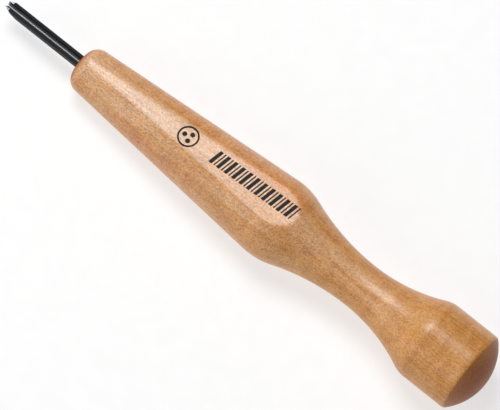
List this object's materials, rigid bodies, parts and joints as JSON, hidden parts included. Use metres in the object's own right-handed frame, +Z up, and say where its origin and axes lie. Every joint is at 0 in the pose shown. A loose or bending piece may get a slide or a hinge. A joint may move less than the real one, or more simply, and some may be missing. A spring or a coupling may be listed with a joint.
{
  "type": "lino cutter",
  "caption": "Palm-grip lino cutter: a short grooved steel gouge glued into a turned wooden handle with a rounded shoulder, a narrow waist and a domed butt.",
  "frame": {"origin": "on the turning axis, half-way between the cutting edge and the end of the butt", "axes": "+X along the turning axis towards the cutting edge, +Z up through the printed flat and the open side of the groove"},
  "size_m": [0.133, 0.019, 0.019],
  "materials": {
    "cherry_wood": "clear satin lacquer",
    "black_steel": "black oxide, bright where ground",
    "hard_steel": "black oxide, bright where ground",
    "epoxy": "cured glue",
    "ink": "printed"
  },
  "bodies": {
    "root": {"handle": "cherry_wood", "blade_body": "black_steel", "edge_steel": "hard_steel", "tang_adhesive": "epoxy", "printed_emblem": "ink", "printed_band": "ink"}
  },
  "joints": []
}
